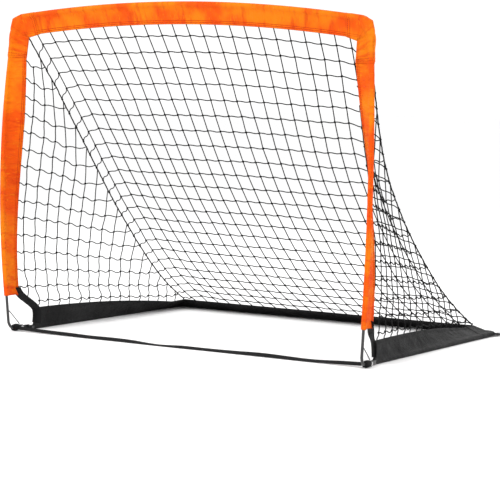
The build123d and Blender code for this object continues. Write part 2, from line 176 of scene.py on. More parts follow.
# %% A class for shader maths
def set_up(made, settings, sockets):
    """Gives a new node its settings, then its sockets' values or links."""
    for key, value in settings.items():
        setattr(made, key, value)
    for key, value in sockets.items():
        socket = made.inputs[key if isinstance(key, int) else key.replace("_", " ")]
        if isinstance(value, Value):
            value = value.socket
        if isinstance(value, bpy.types.Node):
            value = value.outputs[0]
        if isinstance(value, bpy.types.NodeSocket):
            made.id_data.links.new(value, socket)
        else:
            socket.default_value = value
    return made


class Value:
    """A shader socket that can be calculated with."""

    def __init__(self, socket):
        self.socket = socket

    def math(self, operation, *others, first=None):
        made = self.socket.node.id_data.nodes.new("ShaderNodeMath")
        made.operation = operation
        values = [self, *others] if first is None else [first, self]
        return Value(set_up(made, {}, dict(enumerate(values))).outputs[0])

    def __add__(self, other):
        return self.math("ADD", other)

    def __sub__(self, other):
        return self.math("SUBTRACT", other)

    def __rsub__(self, other):
        return self.math("SUBTRACT", first=other)

    def __mul__(self, other):
        return self.math("MULTIPLY", other)

    __radd__ = __add__
    __rmul__ = __mul__

    def wave(self, pitch):
        """A ripple from 0 to 1 that repeats every pitch."""
        return (self * (2 * math.pi / pitch)).math("SINE") * 0.5 + 0.5


class Finish:
    """A material under construction."""

    def __init__(self, name, roughness, metallic=0.0, coat=0.0, specular=0.5):
        self.material = bpy.data.materials.new(name)
        self.material.use_nodes = True
        self.tree = self.material.node_tree
        self.shader = self.tree.nodes["Principled BSDF"]
        self.give(Roughness=roughness, Metallic=metallic, Coat_Weight=coat, Specular_IOR_Level=specular)

    def give(self, **sockets):
        """Values or links for the shader itself."""
        set_up(self.shader, {}, sockets)

    def node(self, kind, settings=None, **sockets):
        return set_up(self.tree.nodes.new("ShaderNode" + kind), settings or {}, sockets)

    def uv(self):
        """The piece's own map, in metres: along it, and across it."""
        return self.node("UVMap", {"uv_map": "UVMap"}).outputs["UV"]

    def along_across(self):
        split = self.node("SeparateXYZ", Vector=self.uv())
        return Value(split.outputs["X"]), Value(split.outputs["Y"])

    def noise(self, scale, detail=3.0, stretch=(1, 1, 1), where=None):
        where = where or self.node("TexCoord").outputs["Object"]
        mapped = self.node("Mapping", Vector=where, Scale=stretch)
        return Value(self.node("TexNoise", Vector=mapped, Scale=scale, Detail=detail).outputs[0])

    def between(self, mask, low, high):
        """A smooth step of mask from 0 at low to 1 at high."""
        smooth = {"interpolation_type": "SMOOTHSTEP"}
        made = self.node("MapRange", smooth, Value=mask, From_Min=low, From_Max=high)
        return Value(made.outputs[0])

    def mix(self, mask, first, second):
        made = self.node("Mix", {"data_type": "RGBA"})
        a, b = ((*tone, 1.0) if isinstance(tone, tuple) else tone for tone in (first, second))
        return Value(set_up(made, {}, {0: mask, 6: a, 7: b}).outputs[2])

    def bump(self, height, depth):
        self.give(Normal=self.node("Bump", Height=height, Distance=depth, Strength=1.0))


# %% [markdown]
# ## Finishes
#
# The sleeves are woven polyester: two crossing sets of threads about half a millimetre wide, dyed
# a little unevenly, and hardly shiny. The weave is a bump from two ripples in the piece's own
# map, so it runs along the sleeve and turns with it. The folds and creases are bumps too, with
# painted shade in the folds and painted highlights on the creases.

# %% Woven fabric
SEAM_PLACES = (0.0458, 0.0508)  # distances from the pole where a row of stitches darkens the cloth
STITCH_SPACING = 0.0048


def woven(name, shade, light, deep, thread, roughness, folds):
    """Cloth of three tones, with painted shade in its folds and painted highlights on its creases; folds
    says how fine they are, along and across.
    """
    finish = Finish(name, roughness, specular=0.14)
    along, across = finish.along_across()
    uv = finish.uv()
    cloudy = finish.noise(9.0, 4.0)
    folds_and_painted_shade = finish.noise(1.0, 4.0, (*folds, 1.0), uv)
    creases_and_painted_highlight = finish.noise(1.0, 3.0, (folds[0] * 2.4, folds[1] * 3.2, 1.0), uv)
    tone = finish.mix(finish.between(cloudy, 0.40, 0.62), shade, light)
    # Painted shade along the folds and painted highlights on the creases; the same two noises also bump the
    # cloth.
    tone = finish.mix(finish.between(folds_and_painted_shade, 0.50, 0.70) * 0.55, tone, deep)
    tone = finish.mix(finish.between(creases_and_painted_highlight, 0.60, 0.72) * 0.75, tone, light)
    weave = along.wave(thread) * across.wave(thread)
    tone = finish.mix(weave * 0.12, tone, deep)
    width = across.math("ABSOLUTE")
    for place in SEAM_PLACES:
        line = 1 - finish.between((width - place).math("ABSOLUTE"), 0.0003, 0.0014)
        tone = finish.mix(line * (0.45 + 0.4 * along.wave(STITCH_SPACING)), tone, deep)
    finish.give(Base_Color=tone, Roughness=finish.noise(60.0) * 0.16 + (roughness - 0.08))
    crumple = finish.noise(34.0, 5.0)
    finish.bump(weave * 0.12 + crumple * 1.1 + folds_and_painted_shade * 2.2 + creases_and_painted_highlight * 0.5, 0.0060)
    return finish.material


ORANGE = woven(
    "orange sleeve cloth",
    shade=(0.95, 0.100, 0.0),
    light=(1.0, 0.235, 0.001),
    deep=(0.74, 0.038, 0.0),
    thread=0.0009,
    roughness=0.66,
    folds=(62.0, 13.0),
)
BLACK_CLOTH = woven(
    "black sleeve cloth",
    shade=(0.006, 0.006, 0.0062),
    light=(0.016, 0.016, 0.0165),
    deep=(0.003, 0.003, 0.0032),
    thread=0.0011,
    roughness=0.5,
    folds=(17.0, 24.0),
)
print("cloth:", ORANGE.name, "and", BLACK_CLOTH.name)

# %% [markdown]
# Webbing is a heavier ribbon whose ribs run across it. The stretch cord has a woven cover, so its
# surface is a slanting ripple. Twine and thread are too fine for one: they are matte, with a few
# paler fibres.


# %% Webbing, twine and thread
def corded(name, shade, pale, pitch, slant, roughness, depth):
    """Ribs of the given pitch and slant, for pieces that have a map; depth is the bump's."""
    finish = Finish(name, roughness, specular=0.16)
    along, across = finish.along_across()
    ribs = (along + across * slant).wave(pitch)
    fibres = finish.noise(260.0, 2.0)
    tone = finish.mix(ribs * 0.35 + finish.between(fibres, 0.5, 0.9) * 0.4, shade, pale)
    finish.give(Base_Color=tone, Roughness=fibres * 0.2 + (roughness - 0.1))
    finish.bump(ribs + fibres * 0.3, depth)
    return finish.material


DARKEST, GREY = (0.003, 0.003, 0.0034), (0.05, 0.05, 0.052)
WEBBING = corded("black webbing", (0.006, 0.006, 0.0064), (0.018, 0.018, 0.019), 0.0017, 0.0, 0.72, 0.0004)
TWINE = corded("net twine", DARKEST, (0.008, 0.008, 0.0085), 0.0022, 0.7, 0.7, 0.00025)
EDGE_CORD = corded("edge cord", DARKEST, (0.009, 0.009, 0.0095), 0.0026, 0.7, 0.7, 0.0003)
STRETCH = corded("stretch cord cover", (0.01, 0.01, 0.011), GREY, 0.0018, 1.0, 0.6, 0.0002)
ORANGE_THREAD = corded("orange thread", (0.45, 0.02, 0.001), (0.7, 0.05, 0.002), 0.0009, 0.6, 0.6, 0.0001)
BLACK_THREAD = corded("black thread", (0.018, 0.018, 0.019), GREY, 0.0009, 0.6, 0.55, 0.0001)
print("cords:", WEBBING.name, TWINE.name, STRETCH.name)

# %% [markdown]
# The hard parts keep their shapes and only need a better surface. The rods and brackets are coated
# in satin black with a faint orange peel, the rivets and ferrules are bare steel turned on a
# lathe, and the poles are glass fibre in resin, with fine lengthwise streaks.


# %% Metal and fibreglass
def coated_steel():
    finish = Finish("black coated steel", 0.38, coat=0.25)
    peel = finish.noise(420.0, 2.0)
    scuffs = finish.between(finish.noise(95.0, 6.0), 0.62, 0.8)
    tone = finish.mix(scuffs * 0.5, (0.012, 0.012, 0.013), (0.05, 0.05, 0.052))
    finish.give(Base_Color=tone, Roughness=scuffs * 0.25 + 0.34)
    finish.bump(peel, 0.0002)
    return finish.material


def bare_steel():
    finish = Finish("bare steel", 0.34, metallic=1.0)
    lines = finish.noise(300.0, 3.0, (1.0, 1.0, 6.0))
    tarnish = finish.between(finish.noise(70.0, 4.0), 0.4, 0.75)
    tone = finish.mix(tarnish, (0.56, 0.56, 0.57), (0.36, 0.35, 0.34))
    finish.give(Base_Color=tone, Roughness=lines * 0.25 + 0.22)
    finish.bump(lines, 0.00006)
    return finish.material


def fibreglass():
    finish = Finish("black fibreglass", 0.3, coat=0.2)
    streaks = finish.noise(210.0, 4.0, (1.0, 1.0, 0.12))
    tone = finish.mix(streaks, (0.012, 0.012, 0.013), (0.035, 0.035, 0.037))
    finish.give(Base_Color=tone, Roughness=streaks * 0.2 + 0.24)
    finish.bump(streaks, 0.0001)
    return finish.material


COATED, STEEL, GLASS_FIBRE = coated_steel(), bare_steel(), fibreglass()
CARRIED = {"pole": GLASS_FIBRE, "ferrule": STEEL, "rivet": STEEL}
CARRIED |= {"bracket": COATED, "rod": COATED, "loop": EDGE_CORD}
for name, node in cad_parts.items():
    material = CARRIED.get(name.split("_")[-1])
    if material:
        node.data.materials.clear()
        node.data.materials.append(material)
print("carried nodes dressed:", sum(n.split("_")[-1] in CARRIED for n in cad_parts))

# %% [markdown]
# ## Making a sleeve
#
# A sleeve is one strip of cloth folded round the pole and sewn flat: a round tunnel that runs out
# into a band of two layers. Its cross-section is a teardrop, described by the half thickness at
# each distance from the pole. Sweeping that along the pole, with the band turning as it goes,
# gives the twist that the posts' sleeves have. Smooth noise then pushes the band in and out,
# because cloth that is sewn to a bent pole never lies quite flat.

# %% The teardrop section
HALF_LAYER = 0.0011
HEM_ROUND = 0.0012
TUNNEL_FALL = 0.0042  # how gently the tunnel closes into the band


def stations(reach):
    """Distances from the pole's centre at which the section has points, from outside to hem."""
    round_part = [-TUNNEL * math.cos(a) for a in np.linspace(0, 2.1, 9)]
    flat_part = np.linspace(round_part[-1] + 0.003, reach - HEM_ROUND, 12)
    return [*round_part, *flat_part, reach]


def half_thickness(w, reach, puff):
    if w <= TUNNEL * 0.5:
        return math.sqrt(max(TUNNEL**2 - w * w, 0.0))
    start = TUNNEL * math.sqrt(0.75)
    flat = HALF_LAYER + (start - HALF_LAYER) * math.exp(-(w - TUNNEL * 0.5) / TUNNEL_FALL) + puff
    return flat * math.sqrt(unit((reach - w) / HEM_ROUND))


print("section points:", 2 * len(stations(BAND)))


# %% [markdown]
# Both the sleeves and the webbing are a ring of points repeated along a path, closed by a cap at
# each end. The right-hand twin of a piece is its mirror image.


# %% Meshes
def swept_faces(rings, size):
    faces = []
    for i in range(rings - 1):
        for k in range(size):
            a, b = i * size + k, i * size + (k + 1) % size
            faces.append((a, b, b + size, a + size))
    return faces + [tuple(range(size))[::-1], tuple(range((rings - 1) * size, rings * size))]


def swept_object(name, rings, points, uvs, material, slot):
    """A smooth mesh at the origin, with its faces pointing outwards."""
    data = bpy.data.meshes.new(name)
    data.from_pydata([tuple(p) for p in points], [], swept_faces(rings, len(points) // rings))
    layer = data.uv_layers.new(name="UVMap")
    corners = np.zeros(len(data.loops), int)
    data.loops.foreach_get("vertex_index", corners)
    layer.data.foreach_set("uv", np.array(uvs, float)[corners].ravel())
    data.polygons.foreach_set("use_smooth", [True] * len(data.polygons))
    data.materials.append(material)
    solid = bmesh.new()
    solid.from_mesh(data)
    bmesh.ops.recalc_face_normals(solid, faces=solid.faces)
    solid.to_mesh(data)
    solid.free()
    made = placed(name, data)
    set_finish(made, slot)
    return made


def mirrored(made):
    """The right-hand twin of a left-hand piece."""
    data = made.data.copy()
    data.name = made.name.replace("left", "right", 1)
    data.transform(Matrix.Diagonal((-1, 1, 1, 1)))
    data.flip_normals()
    twin = placed(data.name, data)
    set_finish(twin, made["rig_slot"])
    return twin


def carry_pair(left, body, node=None):
    """Carries a left-hand piece and its twin, on their own sides."""
    for piece, hand in ((left, "left_"), (mirrored(left), "right_")):
        carry(piece, hand + body, node and hand + node)


print("a box has", len(swept_faces(2, 4)), "faces")


# %% [markdown]
# `Sleeve` keeps the sweep's own coordinates, so that stitches can later be laid on the very same
# crumpled surface.


# %% The sweep
def gap_to(spot, a, b):
    """The distance from a spot to the line between two points."""
    along = b - a
    t = unit(float((spot - a) @ along / (along @ along)))
    return float(np.linalg.norm(spot - a - along * t))


class Sleeve:
    """A sleeve swept along centres, with its hem at hems; both are lists of points."""

    def __init__(self, name, centres, hems, crumple=0.0022, grow=0.0, seed=0.0, over=()):
        self.name, self.crumple, self.grow, self.seed, self.over = name, crumple, grow, seed, over
        self.centres = np.array(centres, float)
        across = np.array(hems, float) - self.centres
        self.along = running_length(self.centres)
        self.reach = np.linalg.norm(across, axis=1)
        self.across = normalised(across)
        self.normals = normalised(np.cross(normalised(np.gradient(self.centres, axis=0)), self.across))

    def swell(self, spot):
        """Half thickness where the cloth passes over something wide."""
        heights = [high * max(0.0, 1 - (gap_to(spot, a, b) / wide) ** 2) for a, b, wide, high in self.over]
        return max(heights, default=0.0)

    def noise(self, s, w, extra=0.0):
        return noise.noise(Vector((s, w, self.seed + extra)))

    def point(self, i, w, layer):
        """A point of ring i, w from the pole, on layer +1 or -1, or 0 for the fold and the hem."""
        reach = self.reach[i]
        s = self.along[i] + self.seed
        share = unit((w - TUNNEL) / (BAND - TUNNEL))
        bend = self.noise(s * 21, w * 16) * 0.7 + self.noise(s * 47 + w * 60, w * 30, 5) * 0.45
        shift = self.crumple * math.sin(math.pi * min(1.0, share * 1.15)) * bend
        puff = 0.0007 * max(0.0, self.noise(s * 33, w * 40, 9)) * (1 - share)
        ripple = 1 if share else 1 + 0.09 * self.noise(s * 75, layer * 3.0 + w * 80, 2)
        half = half_thickness(w, reach, puff) * ripple + (self.grow if layer else 0)
        if self.over:
            half = max(half, self.swell(self.centres[i] + self.across[i] * w))
        spot = self.centres[i] + self.across[i] * w + self.normals[i] * (shift + layer * half)
        spot[2] = max(spot[2], 0.0002)
        return spot

    def seam_point(self, i, w, layer):
        """The same, lifted a little for a thread that lies on the cloth."""
        return self.point(i, w, layer) + self.normals[i] * layer * 0.00025

    def build(self, material, slot):
        rings, points, uvs = len(self.centres), [], []
        for i in range(rings):
            ws = stations(self.reach[i] + self.grow)
            ws[0] -= self.grow
            loop = [(w, 1) for w in ws[1:-1]] + [(ws[-1], 0)]
            loop += [(w, -1) for w in ws[-2:0:-1]] + [(ws[0], 0)]
            points += [self.point(i, w, layer) for w, layer in loop]
            uvs += [(self.along[i], w if layer >= 0 else -w) for w, layer in loop]
        return swept_object(self.name, rings, points, uvs, material, slot)


def sleeve_along(name, places, centre, hem, **options):
    """A sleeve whose centres and hems are functions of a place along it."""
    return Sleeve(name, [centre(p) for p in places], [hem(p) for p in places], **options)


def hems_round(inner, low, high, count, enter, leave, drift):
    """Hem points that run from low into one inner corner, stay there, and leave it for high."""
    hems = []
    for k in range(count):
        t = k / (count - 1)
        if t < enter:
            hems.append(low + (inner - low) * (t / enter))
        elif t > leave:
            hems.append(inner + (high - inner) * ((t - leave) / (1 - leave)))
        else:
            hems.append(inner + np.array(drift) * k)
    return hems


# %% [markdown]
# ## The orange sleeves
#
# At the top of a post the band lies in the plane of the mouth. Further down, the side net pulls
# it round until it points straight back.

# %% Post and crossbar sleeves
SLEEVE_FOOT_Z = 0.105
TURN_TOP_Z = 0.818
CROSSBAR_TILT = math.radians(18)
CORNER_X, CORNER_Z = -0.505, 0.798
OVERLAP = 0.004  # how far a sleeve runs on under its corner patch


def post_across(z):
    share = (TURN_TOP_Z - z) / (TURN_TOP_Z - SLEEVE_FOOT_Z)
    turn = math.radians(5 + 83 * math.sin(max(0.0, share) * math.pi / 2))
    return np.array([math.cos(turn), math.sin(turn), 0.0])


def crossbar_across(x):
    slope = -x / CROSSBAR_R
    down = np.array([slope, 0.0, -math.sqrt(1 - slope * slope)])
    return down * math.cos(CROSSBAR_TILT) + np.array([0.0, math.sin(CROSSBAR_TILT), 0.0])


def post_hem(z):
    """The band narrows a little towards the top corner."""
    return post(z) + post_across(z) * (BAND - 0.005 * unit((z - 0.62) / 0.18))


def crossbar_hem(x):
    return crossbar(x) + crossbar_across(x) * BAND


post_heights = np.linspace(SLEEVE_FOOT_Z, CORNER_Z + OVERLAP, 176)
post_cloth = sleeve_along("left_post_cloth", post_heights, post, post_hem, seed=3.0)
carry_pair(post_cloth.build(ORANGE, "orange_fabric"), "post", "post_sleeve")
crossbar_places = np.linspace(CORNER_X - OVERLAP, -CORNER_X + OVERLAP, 256)
crossbar_cloth = sleeve_along("crossbar_cloth", crossbar_places, crossbar, crossbar_hem, seed=11.0)
carry(crossbar_cloth.build(ORANGE, "orange_fabric"), "crossbar", "crossbar_sleeve")
print("orange sleeves:", len(post_heights), "and", len(crossbar_places), "rings")

# %% [markdown]
# At each top corner a separate patch of cloth wraps the hinge and overlaps both sleeves by a few
# millimetres. Its outer edge is cut across, and its inner edge comes to a point where the two
# hems meet. It is swept like a sleeve, round the corner, with every hem point of its middle part
# drawn to that one inner corner.

# %% Corner patches
PATCH_LAP = 0.006
corner_turn = []
for z in np.linspace(CORNER_Z - PATCH_LAP, 0.868, 12):
    outwards = 0.0032 * math.exp(-(((z - 0.860) / 0.022) ** 2))
    corner_turn.append(post(z) - np.array([outwards, 0, 0]))
corner_turn += [np.array([-0.5775 + 0.006 * t, FRONT, 0.872 + 0.026 * t]) for t in np.linspace(0.1, 1, 7)]
corner_turn += [np.array([-0.5665 + 0.014 * t, FRONT, 0.9005 + 0.0055 * t]) for t in np.linspace(0.1, 1, 5)]
corner_turn += [crossbar(x) for x in np.linspace(-0.545, CORNER_X + PATCH_LAP, 8)]
corner_hems = hems_round(
    np.array([-0.5275, FRONT + 0.012, 0.8505]),
    post_hem(CORNER_Z - PATCH_LAP),
    crossbar_hem(CORNER_X + PATCH_LAP),
    len(corner_turn),
    0.36,
    0.80,
    (0.0, 0.0, 0.00002),
)
top_pin = np.array([-PIN_X, FRONT, TOP_PIN_Z])
HINGE = [  # from, to, half width, height
    (top_pin, post(0.840), 0.0165, 0.0098),
    (top_pin, crossbar(-0.551), 0.0165, 0.0090),
    (post(0.798), post(0.840), 0.0115, 0.0098),
    (crossbar(-0.551), crossbar(-0.512), 0.0115, 0.0088),
]
patch_cloth = Sleeve(
    "left_corner_patch", corner_turn, corner_hems, crumple=0.0012, grow=0.0007, seed=21.0, over=HINGE
)


def carry_patch(left, left_node=None, right_node=None):
    """Hides the given corner covers; the left patch stays fixed in place, and the right one goes with the
    crossbar.
    """
    right = mirrored(left)
    if left_node:
        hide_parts(left_node)
        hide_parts(right_node)
    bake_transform(left)
    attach(right, "crossbar")


left_patch = patch_cloth.build(ORANGE, "orange_fabric")
carry_patch(left_patch, "crossbar_left_corner_cover", "crossbar_right_corner_cover")
print("corner patches:", len(left_patch.data.polygons), "faces each")

# %% [markdown]
# ## The black sleeves
#
# On the ground the sleeves hold the side bars and the rear bar. The side band stands upright near
# the foot, where the side net starts, and leans in until it lies nearly flat at the rear corner.
# A mitred patch covers each rear corner, made like the ones at the top.

# %% Side and rear sleeves
SIDE_START, SIDE_END = FRONT + 0.100, REAR - 0.052
REAR_RISE = math.radians(25)
REAR_ACROSS = np.array([0.0, -math.cos(REAR_RISE), math.sin(REAR_RISE)])


def side_centre(y):
    return np.array([-SIDE_POLE_X, y, GROUND_POLE_Z])


def side_hem(y):
    share = unit((y - SIDE_START) / (REAR - 0.132 - SIDE_START))
    rise = math.radians(88 - 63 * share**1.3)
    return side_centre(y) + BAND * np.array([math.cos(rise), 0.0, math.sin(rise)])


def rear_centre(x):
    return np.array([x, REAR, GROUND_POLE_Z])


def rear_hem(x):
    return rear_centre(x) + BAND * REAR_ACROSS


side_places = np.linspace(SIDE_START, SIDE_END - 0.040, 180)
side_cloth = sleeve_along("left_side_cloth", side_places, side_centre, side_hem, crumple=0.0030, seed=31.0)
carry_pair(side_cloth.build(BLACK_CLOTH, "black_fabric"), "side", "side_sleeve")
rear_places = np.linspace(-0.480, 0.480, 220)
rear_cloth = sleeve_along("rear_cloth", rear_places, rear_centre, rear_hem, crumple=0.0026, seed=41.0)
carry(rear_cloth.build(BLACK_CLOTH, "black_fabric"), "rear_bar", "rear_sleeve")

rear_turn = [side_centre(y) for y in np.linspace(SIDE_END - 0.048, REAR - 0.016, 12)]
for t in np.linspace(0.15, 1, 5):
    rear_turn.append(np.array([-0.5600 + 0.012 * t, REAR - 0.013 + 0.011 * t, GROUND_POLE_Z]))
rear_turn += [rear_centre(x) for x in np.linspace(-0.545, -0.472, 10)]
rear_hems = hems_round(
    np.array([-0.5115, REAR - 0.0520, 0.0318]),
    side_hem(SIDE_END - 0.048),
    rear_hem(-0.472),
    len(rear_turn),
    0.40,
    0.66,
    (0.0, 0.00002, 0.0),
)
rear_patch_cloth = Sleeve("left_rear_patch", rear_turn, rear_hems, crumple=0.0012, grow=0.0006, seed=51.0)
left_rear_patch = rear_patch_cloth.build(BLACK_CLOTH, "black_fabric")
for patch, hand, sign in ((left_rear_patch, "left", -1), (mirrored(left_rear_patch), "right", 1)):
    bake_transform(patch)
print("black sleeves:", len(side_places), "and", len(rear_places), "rings")

# %% [markdown]
# ## Geometry Nodes
#
# Stitches and netting repeat by the hundred and follow paths, which is what Geometry Nodes are
# good at. A path goes in as a bare chain of edges, and the tree puts the solid shapes on it. One
# class builds a tree, and a function turns a path and a tree into a plain mesh.


# %% Helpers for trees
class Tree:
    """A tree under construction, with a geometry input and named number inputs."""

    def __init__(self, name, **inputs):
        self.tree = bpy.data.node_groups.new(name, "GeometryNodeTree")
        self.socket("Geometry", "INPUT", "Geometry")
        for label, value in inputs.items():
            self.socket(label.replace("_", " "), "INPUT", "Float").default_value = value
        self.socket("Geometry", "OUTPUT", "Geometry")
        self.given = self.tree.nodes.new("NodeGroupInput").outputs

    def socket(self, label, way, kind):
        return self.tree.interface.new_socket(name=label, in_out=way, socket_type="NodeSocket" + kind)

    def grow(self, kind, settings=None, **sockets):
        kind = kind if kind.startswith("Function") else "GeometryNode" + kind
        return set_up(self.tree.nodes.new(kind), settings or {}, sockets)

    def tube(self, curve, radius, sides):
        """A curve swept to a round strand."""
        profile = self.grow("CurvePrimitiveCircle", Resolution=sides, Radius=radius)
        return self.grow("CurveToMesh", Curve=curve, Profile_Curve=profile, Fill_Caps=True)

    def done(self, geometry, material):
        painted = self.grow("SetMaterial", Geometry=geometry, Material=material)
        set_up(self.tree.nodes.new("NodeGroupOutput"), {}, {"Geometry": painted})
        return self.tree


def grown(name, chains, tree, slot, knots=()):
    """Runs a tree on chains of points, with lone points at knots, and returns a plain mesh."""
    points, edges = [], []
    for chain in chains:
        first = len(points)
        points += [tuple(p) for p in chain]
        edges += [(first + k, first + k + 1) for k in range(len(chain) - 1)]
    flags = [False] * len(points) + [True] * len(knots)
    ways = [(0.0, 0.0, 1.0)] * len(points) + [tuple(way) for _, way in knots]
    points += [tuple(spot) for spot, _ in knots]
    data = bpy.data.meshes.new(name + "_path")
    data.from_pydata(points, edges, [])
    is_knot = data.attributes.new("knot", "BOOLEAN", "POINT")
    is_knot.data.foreach_set("value", flags)
    way = data.attributes.new("way", "FLOAT_VECTOR", "POINT")
    way.data.foreach_set("vector", np.array(ways, float).ravel())
    path = placed(name + "_path", data)
    path.modifiers.new("tree", "NODES").node_group = tree
    plain = bpy.data.meshes.new_from_object(path.evaluated_get(bpy.context.evaluated_depsgraph_get()))
    plain.name = name
    bpy.data.objects.remove(path)
    bpy.data.meshes.remove(data)
    plain.polygons.foreach_set("use_smooth", [True] * len(plain.polygons))
    made = placed(name, plain)
    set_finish(made, slot)
    return made


# %% [markdown]
# ## Stitches
#
# Two rows of lockstitch close each sleeve near its hem. Every stitch is a short six-sided bead
# of thread that points along the seam.

# %% A tree that sews
SEAM_INSETS = (0.0062, 0.0112)  # from the hem


def stitch_tree(material):
    tree = Tree("Stitches", Spacing=STITCH_SPACING, Stitch_length=0.0034, Thread_radius=0.00055)
    curve = tree.grow("MeshToCurve", Mesh=tree.given["Geometry"])
    spots = tree.grow("CurveToPoints", {"mode": "LENGTH"}, Curve=curve, Length=tree.given["Spacing"])
    size = {"Radius": tree.given["Thread radius"], "Depth": tree.given["Stitch length"]}
    bead = tree.grow("MeshCylinder", Vertices=6, **size)
    turned = spots.outputs["Rotation"]
    sewn = tree.grow("InstanceOnPoints", Points=spots, Instance=bead, Rotation=turned)
    return tree.done(tree.grow("RealizeInstances", Geometry=sewn), material)


SEWING = {"orange_fabric": stitch_tree(ORANGE_THREAD), "black_fabric": stitch_tree(BLACK_THREAD)}


def sew(name, rows, slot):
    return grown(name, rows, SEWING[slot], slot)


def seam_rows(cloth):
    """Paths for the rows of stitches on both faces of a sleeve, inset from its hem."""
    rings = range(len(cloth.centres))
    return [
        [cloth.seam_point(i, cloth.reach[i] - inset, layer) for i in rings]
        for inset in SEAM_INSETS
        for layer in (1, -1)
    ]


carry_pair(sew("left_post_stitches", seam_rows(post_cloth), "orange_fabric"), "post")
top_stitches = sew("crossbar_stitches", seam_rows(crossbar_cloth), "orange_fabric")
carry(top_stitches, "crossbar")
carry_pair(sew("left_side_stitches", seam_rows(side_cloth), "black_fabric"), "side")
carry(sew("rear_stitches", seam_rows(rear_cloth), "black_fabric"), "rear_bar")
print("stitches on the crossbar:", len(top_stitches.data.polygons) // 8)

# %% [markdown]
# The corner patches are sewn down along both of their ends, with two rows each.


# %% Patch stitches
def across_rows(cloth, rings):
    """Rows that run across a sleeve at the given rings, over both of its faces."""
    return [
        [cloth.seam_point(i, w, layer) for w in np.linspace(-0.004, cloth.reach[i] - 0.002, 26)]
        for i in rings
        for layer in (1, -1)
    ]


last = len(corner_turn) - 1
patch_rows = across_rows(patch_cloth, (1, last - 1, 2, last - 2))
left_patch_stitches = sew("left_patch_stitches", patch_rows, "orange_fabric")
carry_patch(left_patch_stitches)
print("patch stitches:", len(left_patch_stitches.data.polygons) // 8)

# %% [markdown]
# ## The shape of the net
#
# The net is larger than the frame it hangs in, so it sags. A thick cord runs down each side, from
# the top corner to the rear corner, and marks the edge between the back and a side. The cords'
# own weight and the pull of the netting draw them down and inwards. Their curve is the key to the
# whole net, so it is written down first, as points of the left-hand cord.

# %% The edge cord's curve
EDGE_INWARDS = [
    0.549, 0.536, 0.521, 0.506, 0.495, 0.489, 0.488, 0.488, 0.489, 0.492, 0.495, 0.498, 0.502,
    0.506, 0.509, 0.512,
]
EDGE_HEIGHTS = [
    0.860, 0.786, 0.708, 0.624, 0.545, 0.474, 0.411, 0.353, 0.301, 0.250, 0.204, 0.160, 0.122,
    0.088, 0.058, 0.036,
]
edge_backs = [0.030 + 0.055 * k for k in range(15)] + [0.846]  # behind the mouth
edge_points = np.stack([-np.array(EDGE_INWARDS), FRONT + np.array(edge_backs), EDGE_HEIGHTS], axis=1)
edge_lengths = running_length(edge_points)


def edge_at(share):
    """A point of the left edge cord, by its share of the length from the top."""
    at = share * edge_lengths[-1]
    return np.array([np.interp(at, edge_lengths, edge_points[:, k]) for k in range(3)])


def edge_share_at_y(y):
    return float(np.interp(y, edge_points[:, 1], edge_lengths)) / edge_lengths[-1]


print("edge cord", round(edge_lengths[-1], 3), "m long")

# %% [markdown]
# ## The back net
#
# The back has 24 columns and 24 rows of square mesh. A knot's place is worked out from two
# shares, across and down: the outline gives the middle of the sheet its shape, and the twine
# follows with small kinks beside each knot, because a knotted twine leaves its knot at an angle.

# %% Knots of the back net
COLUMNS, ROWS = 24, 24
BACK_SAG = 0.010
RIDGE = {1: -0.006, 2: 0.005, 3: 0.003}  # by columns from the edge cord


def jitter(*where, size=0.0016):
    """A small repeatable shift, the same for the same numbers."""
    i, j, seed = where
    return np.array([noise.noise(Vector((i * 3.7 + k * 11.3, j * 2.9, seed + k))) for k in range(3)]) * size


def back_point(u, v):
    """A point of the back net, u across from the left and v down from the crossbar."""
    side = edge_at(v)
    x = side[0] * (1 - 2 * u)
    middle = 1 - abs(2 * u - 1)
    top = crossbar_hem(x * 0.99)
    fade = max(0.0, 1 - v) ** 1.6
    lift = (top - edge_at(0)) * fade
    sag = BACK_SAG * math.sin(math.pi * v) * (1 - (1 - middle) ** 4)
    bottom = np.array([0.0, REAR - 0.0515 - edge_at(1)[1], 0.0315 - edge_at(1)[2]]) * v**6
    y = side[1] + lift[1] - sag * 0.3 + bottom[1]
    return np.array([x, y, side[2] + lift[2] - sag * 0.7 + bottom[2]])


def row_share(k):
    return 0.0 if k == 0 else min(1.0, (k - 0.30) / (ROWS - 0.55))


UP_BACK = np.array([0.0, -0.62, 0.78])
back_knots = {}
for i in range(COLUMNS + 1):
    for k in range(ROWS + 1):
        spot = back_point(i / COLUMNS, row_share(k))
        if 0 < i < COLUMNS and 0 < k < ROWS:
            ridge = RIDGE.get(min(i, COLUMNS - i), 0.0) * min(1.0, k / 5)
            spot = spot + jitter(i, k, 1.0) + UP_BACK * ridge
        back_knots[i, k] = spot
print("back net:", len(back_knots), "crossings")

# %% [markdown]
# ## The side nets
#
# A side net hangs from the post's sleeve, the edge cord and the side sleeve. Its columns hang
# nearly plumb, and its rows droop on the way back to the edge cord, the middle rows most of all.

# %% Knots of a side net
SIDE_PITCH = 0.048
ROW_PITCH = 0.0505
DROOP = 0.066  # of the middle rows


def drop_of(height):
    """How far a row that starts at this height on the post has sunk where it meets the edge cord."""
    return DROOP * max(0.0, math.sin(math.pi * min(1.0, (height + 0.05) / 0.95))) ** 0.8


def front_of(z):
    """The side net's front edge: the post sleeve's hem, then the corner strap."""
    if z >= SLEEVE_FOOT_Z:
        return post_hem(min(z, 0.84))
    t = (SLEEVE_FOOT_Z - z) / 0.040
    return post_hem(SLEEVE_FOOT_Z) * (1 - t) + side_hem(SIDE_START) * t


def floor_of(y):
    """The height of the side net's lower edge."""
    if y < SIDE_START:
        return float(np.interp(y, [FRONT + 0.05, SIDE_START], [SLEEVE_FOOT_Z, 0.064]))
    return float(side_hem(min(y, SIDE_END))[2])


def row_meets_edge(height):
    """The y at which a row meets the edge cord."""
    shares = np.linspace(0, 1, 400)
    line = np.array([edge_at(s) for s in shares])
    wanted = height - drop_of(height)
    return float(np.interp(-wanted, -line[:, 2], line[:, 1]))


